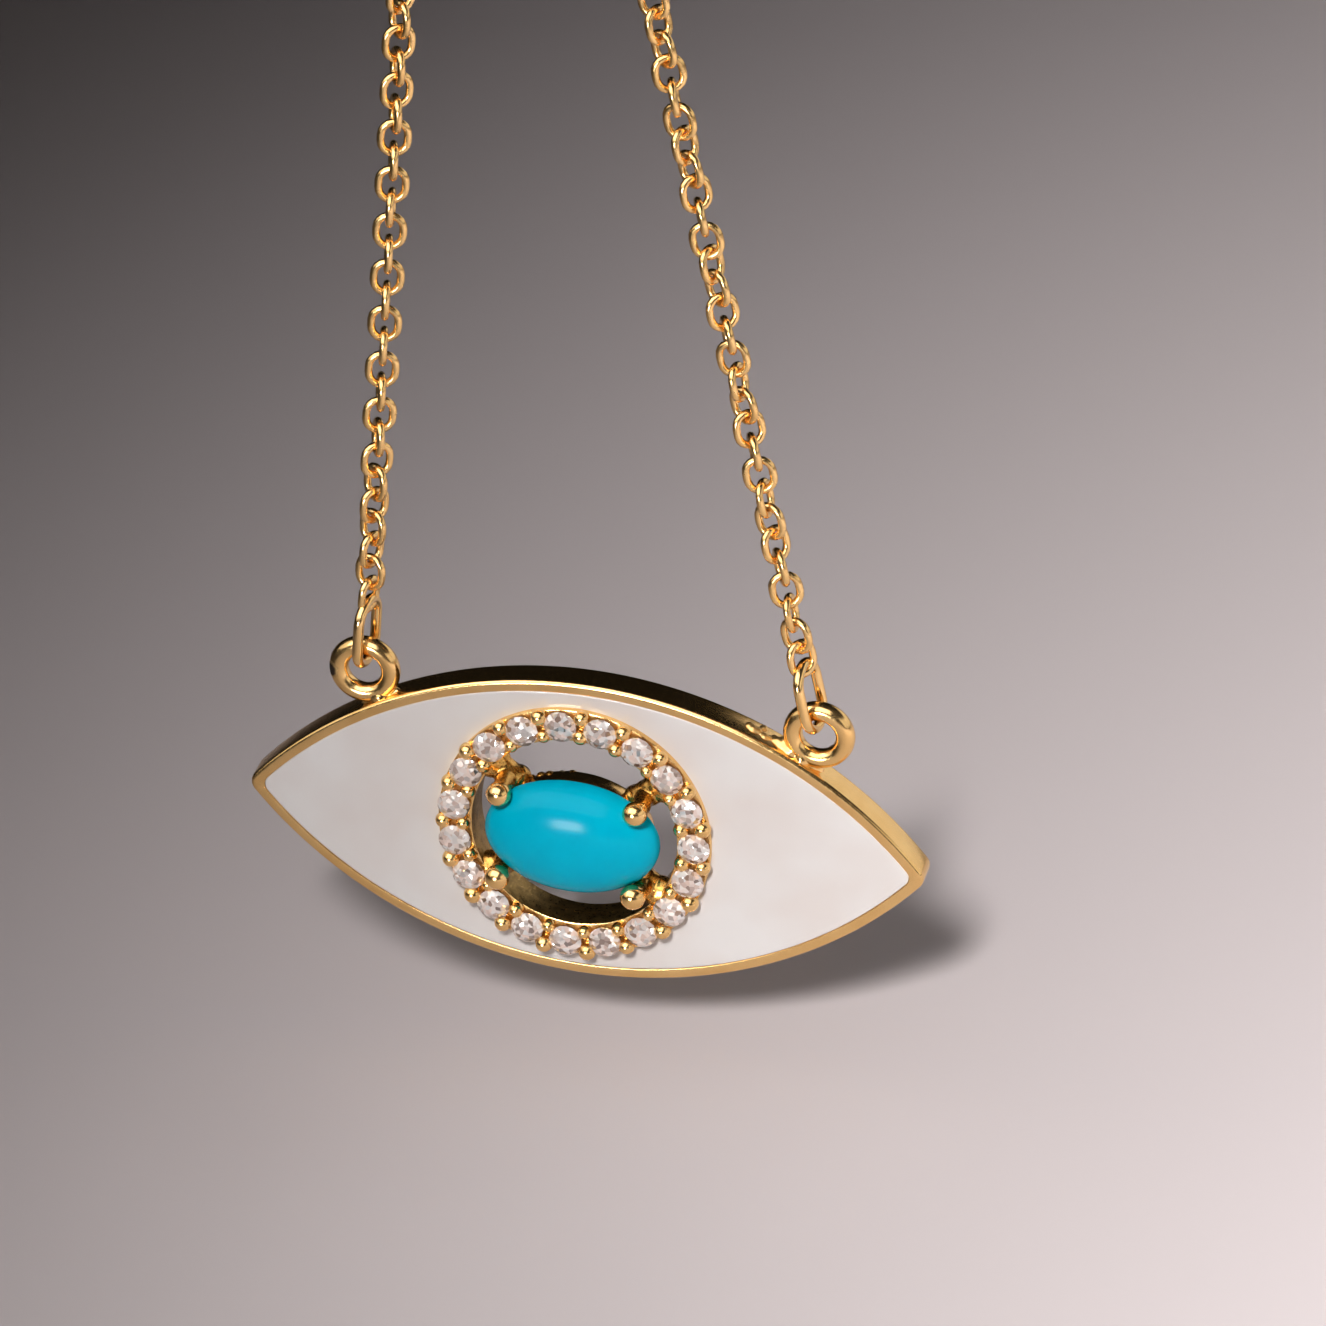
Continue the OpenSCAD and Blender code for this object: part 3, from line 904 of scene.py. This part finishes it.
class PENDANT_OT_turquoise(Operator):
    """Oval domed turquoise with a rounded lower edge"""

    bl_idname = "pendant.turquoise"
    bl_label = "Turquoise"

    def execute(self, context):
        eye, halo, centre = in_mm("eye", "halo", "centre")
        bm = bmesh.new()
        bmesh.ops.create_uvsphere(bm, u_segments=96, v_segments=64, radius=1)
        geom = bm.verts[:] + bm.edges[:] + bm.faces[:]
        bmesh.ops.bisect_plane(bm, geom=geom, plane_co=(0, 0, 0), plane_no=UP, clear_inner=True, dist=1e-5)
        half = (centre.stone_length / 2, centre.stone_width / 2, centre.dome)
        bmesh.ops.scale(bm, verts=bm.verts[:], vec=half)
        rim = [e for e in bm.edges if e.is_boundary]
        _, base = pull(bm, rim, (0, 0, -centre.edge))
        bmesh.ops.contextual_create(bm, geom=base)
        round_edges(bm, base, width=0.12, steps=3)
        place = hung(eye) @ Matrix.Translation((halo.offset, 0, centre.base + centre.edge))
        blue = turquoise_material()
        make_piece("turquoise_oval", bm, place, blue, sharp=50, slot="turquoise", node="turquoise")
        return {"FINISHED"}


class PENDANT_OT_diamonds(Operator):
    """Finish with painted reflections for the cut stones, which keep their own facets"""

    bl_idname = "pendant.diamonds"
    bl_label = "Round stones"

    def execute(self, context):
        clear = diamond_material()
        for name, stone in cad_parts.items():
            if name.startswith("diamond"):
                stone.data.materials.clear()
                stone.data.materials.append(clear)
        return {"FINISHED"}


# Where lumps of solder lie beside each ring, and their radius
SOLDER_FLOW = {
    -1: ((-0.75, 0.24), (-0.45, 0.36), (0.45, 0.36), (0.75, 0.26)),
    1: ((-1.25, 0.32), (-0.95, 0.46), (-0.6, 0.56), (0.5, 0.42), (0.85, 0.28)),
}
# The foot under each ring, in length, height and depth, and how far its middle sinks into the edge
FOOT = (2.8, 0.34, 1.3, 1)
FOOT_SINK = 0.26
# The rough patch on the upper edge: where it starts and ends, and where its lumps lie
PATCH = (6.8, 8.9)
PATCH_LUMPS = [7.0 + 0.18 * k for k in range(10)]


def make_solder(eye, rings, gold, place):
    """Solder that flows from the feet of the rings into the frame's edge, and a rough patch of it."""
    chance = random.Random(5)
    radius, drop = outline(eye)
    bm = bmesh.new()
    for side in (-1, 1):
        middle = ring_centre(side)
        down = (Vector((0, -drop, middle.z)) - middle).normalized()
        across = Vector((-down.y, down.x, 0))
        edge = middle + down * (rings.ring + rings.ring_stand)
        wire_ring(bm, rings.ring, rings.ring_wire - LAP, 20, Matrix.Translation(middle))
        turned = Matrix((across, -down, UP)).transposed().to_4x4()
        foot = Matrix.Translation(edge + down * FOOT_SINK) @ turned @ Matrix.Diagonal(FOOT)
        bmesh.ops.create_cube(bm, size=1, matrix=foot)
        add_ball(bm, edge, 0.52)
        for shift, size in SOLDER_FLOW[side]:
            add_ball(bm, edge + across * shift + down * 0.12, size, flat=0.8)
    for x in PATCH_LUMPS:
        y = sqrt(radius**2 - x**2) - drop
        spot = (x, y - 0.1, -0.85 + chance.uniform(-0.35, 0.25))
        add_ball(bm, spot, chance.uniform(0.19, 0.27))
    bm = fuse(bm, voxel=0.04, smoothing=14)
    roughen(bm, amount=0.02, scale=4.0, seed=8)
    for face in bm.faces:
        if PATCH[0] < face.calc_center_median().x < PATCH[1]:
            face.material_index = 1
    make_piece("ring_solder", bm, place, gold, gold_material("Rough solder"), sharp=60)


class PENDANT_OT_rings(Operator):
    """Two thick rings soldered to the upper edge, and the solder at their feet"""

    bl_idname = "pendant.rings"
    bl_label = "Soldered rings"

    def execute(self, context):
        eye, rings = in_mm("eye", "rings")
        place = hung(eye)
        bm = bmesh.new()
        for side in (-1, 1):
            wire_ring(bm, rings.ring, rings.ring_wire, 28, Matrix.Translation(ring_centre(side)))
        tarnish = place @ (ring_centre(-1) + Vector((-1.48, -0.08, 0.28)))
        gold = gold_material("Ring gold", [(tarnish, 0.42, 0.3)])
        make_piece("soldered_rings", bm, place, gold)
        make_solder(eye, rings, gold, place)
        return {"FINISHED"}


class PENDANT_OT_jump_rings(Operator):
    """Oval jump rings that hang the pendant on the chain"""

    bl_idname = "pendant.jump_rings"
    bl_label = "Jump rings"

    def execute(self, context):
        rings, chain = in_mm("rings", "chain")
        gold = gold_material("Wire gold")
        drop = rings.ring_wire + rings.play + rings.jump_wire
        rise = rings.jump_length / 2 - rings.jump_wire - drop
        for side, end in ((-1, "left"), (1, "right")):
            bm = bmesh.new()
            add_mesh(bm, wire_oval(rings.jump_length, rings.jump_width, rings.jump_wire, bends=20, sides=20))
            place = (
                Matrix.Translation(bearing(side))
                @ Matrix.Rotation(-side * chain.lean, 4, "Y")
                @ Matrix.Rotation(radians(90) - rings.jump_turn, 4, "Z")
                @ Matrix.Translation((0, 0, rise))
            )
            make_piece("oval_ring_" + end, bm, place, gold, node="jump_ring_" + end, **ON_CHAIN)
        return {"FINISHED"}


# The chain's route: height, and half the gap between the two strands there
STRAND_ROUTE = (
    (-180, 7.1), (-170, 5.75), (-160, 4.5), (-150, 3.35), (-140, 2.5),
    (-130, 2), (-120, 1.75), (-100, 1.6), (-60, 1.6), (-6.6, 1.6),
)
STRAND_STARTS = {-1: (-196.3, 9.43), 1: (-198.3, 9.64)}
# How the links of each strand are turned: the first link's turn, and what each link adds, in degrees
TURNS = {-1: (14, 0), 1: (55, 17)}
# Where a strand is twisted: the link at its middle, its reach in links, and the turn in degrees
TWISTS = {-1: ((0, 6.5, 56), (28, 6, 38)), 1: ()}
# How far a link lies loose either way, in degrees, and how many links are made finely
LOOSE = 7
NEAR_LINKS = 32
# How close the points of a route lie, and how far either way its direction is taken
ROUTE_STEP = 0.2
LOOK = 0.3


def strand_points(side, start, end):
    """Points close together from the strand's first link up to its last."""
    route = (STRAND_STARTS[side],) + STRAND_ROUTE
    slopes = []
    for i in range(len(route)):
        before, after = route[max(i - 1, 0)], route[min(i + 1, len(route) - 1)]
        slopes.append((after[1] - before[1]) / (after[0] - before[0]))
    count = int((end.z - start.z) / ROUTE_STEP)
    points = [start]
    for k in range(1, count):
        z = start.z + (end.z - start.z) * k / count
        i = 0
        while i < len(route) - 2 and z > route[i + 1][0]:
            i += 1
        (low, near), (high, far) = route[i], route[i + 1]
        height = high - low
        t = (z - low) / height
        if t < 0:
            x = start.x + (side * near - start.x) * ((z - start.z) / (low - start.z))
        else:
            x = side * (
                near * (2 * t**3 - 3 * t**2 + 1) + slopes[i] * height * (t**3 - 2 * t**2 + t)
                + far * (3 * t**2 - 2 * t**3) + slopes[i + 1] * height * (t**3 - t**2)
            )
        points.append(Vector((x, 0, z)))
    return points + [end]


def along(points, distance):
    """The point at a distance along a line of points."""
    for a, b in zip(points, points[1:]):
        step = (b - a).length
        if distance <= step:
            return a.lerp(b, distance / step)
        distance -= step
    return points[-1]


def strand_links(side, chain, near, far):
    """One strand, from the link in the jump ring to the link in the clasp's small loop."""
    up = Vector((-side * sin(chain.lean), 0, cos(chain.lean)))
    start = bearing(side) + up * chain.first_link
    points = strand_points(side, start, Vector((side * chain.half_gap, 0, chain.last_link)))
    total = sum((b - a).length for a, b in zip(points, points[1:]))
    gaps = round(total / chain.pitch)
    gaps += 1 - gaps % 2
    pitch = total / gaps
    first, added = TURNS[side]
    chance = random.Random(20 + side)
    bm = bmesh.new()
    for k in range(gaps + 1):
        ahead = along(points, k * pitch + LOOK) - along(points, max(k * pitch - LOOK, 0))
        twist = sum(turn * exp(-(((k - at) / reach) ** 2)) for at, reach, turn in TWISTS[side])
        turn = radians(first + added * k + 90 * (k % 2) + twist + chance.uniform(-LOOSE, LOOSE))
        link = (near if k < NEAR_LINKS else far).copy()
        link.transform(
            Matrix.Translation(along(points, k * pitch))
            @ Matrix.Rotation(atan2(ahead.x, ahead.z), 4, "Y")
            @ Matrix.Rotation(turn, 4, "Z")
        )
        add_mesh(bm, link)
    return bm


class PENDANT_OT_chain(Operator):
    """The two strands of cable chain, link through link"""

    bl_idname = "pendant.chain"
    bl_label = "Chain links"

    def execute(self, context):
        [chain] = in_mm("chain")
        gold = gold_material("Chain gold")
        size = chain.link_length, chain.link_width, chain.link_wire
        near = wire_oval(*size, bends=9, sides=8)
        far = wire_oval(*size, bends=5, sides=5)
        for side, end in ((-1, "left"), (1, "right")):
            bm = strand_links(side, chain, near, far)
            piece = make_piece(
                "links_" + end, bm, Matrix.Identity(4), gold, sharp=80, node="chain_" + end, **ON_CHAIN
            )
            piece.visible_shadow = False
        for mesh in (near, far):
            bpy.data.meshes.remove(mesh)
        return {"FINISHED"}


class PENDANT_OT_clasp(Operator):
    """Plain clasp ring at the hang point, with two small loops for the chain"""

    bl_idname = "pendant.clasp"
    bl_label = "Clasp"

    def execute(self, context):
        [chain] = in_mm("chain")
        middle = Vector((0, 0, chain.clasp_wire - chain.clasp))
        loop_lap = 0.1
        reach = chain.clasp + chain.clasp_wire + chain.loop - loop_lap
        fall = sqrt(reach**2 - chain.half_gap**2)
        bm = bmesh.new()
        wire_ring(bm, chain.clasp, chain.clasp_wire, 24, Matrix.Translation(middle) @ UPRIGHT)
        for side in (-1, 1):
            place = Matrix.Translation(middle + Vector((side * chain.half_gap, 0, -fall))) @ UPRIGHT
            wire_ring(bm, chain.loop, chain.loop_wire, 16, place, steps=40)
        gold = gold_material("Clasp gold")
        make_piece("clasp_ring", bm, Matrix.Identity(4), gold, node="clasp", **ON_CHAIN)
        return {"FINISHED"}


# Each soft box, which shows in polish alone: azimuth to the right of the front, elevation, width and
# height as seen from the pendant, all in degrees, its brightness and its colour
SOFT_BOXES = {
    "key": (-18, 52, 64, 48, 2.6, (1.0, 0.98, 0.95)),
    "window": (-11, 4, 16, 12, 33.0, (1.0, 1.0, 1.0)),
    "left": (-66, 36, 44, 44, 0.9, (1.0, 0.96, 0.92)),
    "right": (76, 14, 60, 26, 0.8, (1.0, 0.96, 0.92)),
    "back right": (137, 12, 60, 33, 0.8, (1.0, 0.96, 0.92)),
}
BOX_DISTANCE = 0.5
POOL_TINT = (1.0, 0.96, 0.96)
# Each lamp for matt surfaces alone: azimuth, elevation, distance, radius, cone, power and aim; the pool
# alone casts shadows
POOLS = {
    "pool": (-4, 45, 0.6, 0.085, 25, 52.0, (0.11, -0.048, -0.2165)),
    "floor fill": (165, 55, 0.4, 0.09, 22, 3.6, (0.046, 0.014, -0.2195)),
}


def direction(azimuth, elevation):
    """The direction at an azimuth to the right of the front and at an elevation, in radians."""
    level = cos(elevation)
    return Vector((sin(azimuth) * level, -cos(azimuth) * level, sin(elevation)))


def facing(toward):
    """Turns a camera or a lamp that looks down to look back along a direction."""
    return toward.to_track_quat("Z", "Y").to_matrix().to_4x4()


def add_camera(scene, stage, aim):
    """The camera, with its lean, on a square picture."""
    data = bpy.data.cameras.new("camera")
    data.sensor_width = 36
    data.lens = stage.focal_pixels / stage.image_size * data.sensor_width
    toward = direction(stage.azimuth, stage.elevation)
    camera = add_object("camera", data)
    turned = facing(toward) @ Matrix.Rotation(-stage.roll, 4, "Z")
    camera.matrix_world = Matrix.Translation((aim + toward * stage.distance) / PER_METRE) @ turned
    scene.camera = camera


def add_floor(stage):
    """A wide plane just below the pendant."""
    bm = bmesh.new()
    level = Matrix.Translation((0, 0, cad_box[0].z - stage.floor_drop / PER_METRE))
    bmesh.ops.create_grid(bm, x_segments=1, y_segments=1, size=3, matrix=level)
    mesh = to_mesh(bm, "floor")
    mesh.materials.append(floor_material())
    floor = add_object("floor", mesh)


def add_lamp(name, kind, aim, azimuth, elevation, distance, **settings):
    """A lamp with its settings, at a distance from its aim and turned towards it."""
    data = bpy.data.lights.new(name, kind)
    for key, value in settings.items():
        setattr(data, key, value)
    toward = direction(radians(azimuth), radians(elevation))
    lamp = add_object(name, data)
    lamp.matrix_world = Matrix.Translation(aim + toward * distance) @ facing(toward)
    return lamp


def add_lights(aim):
    """Soft boxes round the pendant, and soft lamps for matt surfaces and the floor."""
    for name, (azimuth, elevation, wide, high, bright, tint) in SOFT_BOXES.items():
        wide, high = (2 * BOX_DISTANCE * tan(radians(side / 2)) for side in (wide, high))
        lamp = add_lamp(
            name, "AREA", aim, azimuth, elevation, BOX_DISTANCE, shape="RECTANGLE", size=wide,
            size_y=high, energy=bright * pi * wide * high, color=tint,
        )
        lamp.visible_diffuse = False
    for name, (azimuth, elevation, distance, radius, cone, power, spot) in POOLS.items():
        lamp = add_lamp(
            name, "SPOT", Vector(spot), azimuth, elevation, distance, energy=power, color=POOL_TINT,
            shadow_soft_size=radius, spot_size=radians(cone), spot_blend=1.0, use_shadow=name == "pool",
        )
        lamp.visible_glossy = False


def light_world(scene):
    """A faint surround, a little brighter to the front."""
    world = scene.world or bpy.data.worlds.new("world")
    scene.world = world
    world.use_nodes = True
    tree = world.node_tree
    ground = next(n for n in tree.nodes if n.type == "BACKGROUND")
    way = add_node(tree, "TexCoord", {}).outputs["Generated"]
    brightest = (0.1, -0.9, 0.42)
    front = add_node(tree, "VectorMath", {0: way, 1: brightest}, operation="DOT_PRODUCT")
    glow = spread(tree, front.outputs["Value"], -0.4, 0.8, 0.006, 0.06)
    feed(tree, ground, {"Color": (1.0, 0.94, 0.9, 1.0), "Strength": glow})


class PENDANT_OT_stage(Operator):
    """Pale floor, soft lights and the camera at the photograph's angle"""

    bl_idname = "pendant.stage"
    bl_label = "Stage"

    def execute(self, context):
        scene = context.scene
        [stage] = in_mm("stage")
        aim = Vector((stage.aim_x, stage.aim_y, stage.aim_z))
        add_camera(scene, stage, aim)
        add_floor(stage)
        add_lights(aim / PER_METRE)
        light_world(scene)
        scene.view_settings.view_transform = "Standard"
        return {"FINISHED"}


PIECES = (
    PENDANT_OT_cell, PENDANT_OT_halo, PENDANT_OT_gallery, PENDANT_OT_enamel, PENDANT_OT_turquoise,
    PENDANT_OT_diamonds, PENDANT_OT_rings, PENDANT_OT_jump_rings, PENDANT_OT_chain, PENDANT_OT_clasp,
    PENDANT_OT_stage,
)


class PENDANT_PT_sidebar(Panel):
    """Sizes, finishes and pieces of the eye pendant"""

    bl_label = "Eye pendant"
    bl_idname = "PENDANT_PT_sidebar"
    bl_space_type = "VIEW_3D"
    bl_region_type = "UI"
    bl_category = "Pendant"

    def draw(self, context):
        for name, settings in SETTINGS.items():
            box = self.layout.box()
            for prop in settings.__annotations__:
                box.prop(getattr(context.scene, PREFIX + name), prop)
        for piece in PIECES:
            self.layout.operator(piece.bl_idname)


CLASSES = (*SETTINGS.values(), *PIECES, PENDANT_PT_sidebar)


def register():
    for cls in CLASSES:
        bpy.utils.register_class(cls)
    for name, settings in SETTINGS.items():
        setattr(bpy.types.Scene, PREFIX + name, PointerProperty(type=settings))


def unregister():
    for name in SETTINGS:
        delattr(bpy.types.Scene, PREFIX + name)
    for cls in reversed(CLASSES):
        bpy.utils.unregister_class(cls)


def main():
    """Registers the add-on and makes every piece."""
    register()
    for piece in PIECES:
        group, name = piece.bl_idname.split(".")
        getattr(getattr(bpy.ops, group), name)()


if __name__ == "__main__":
    main()
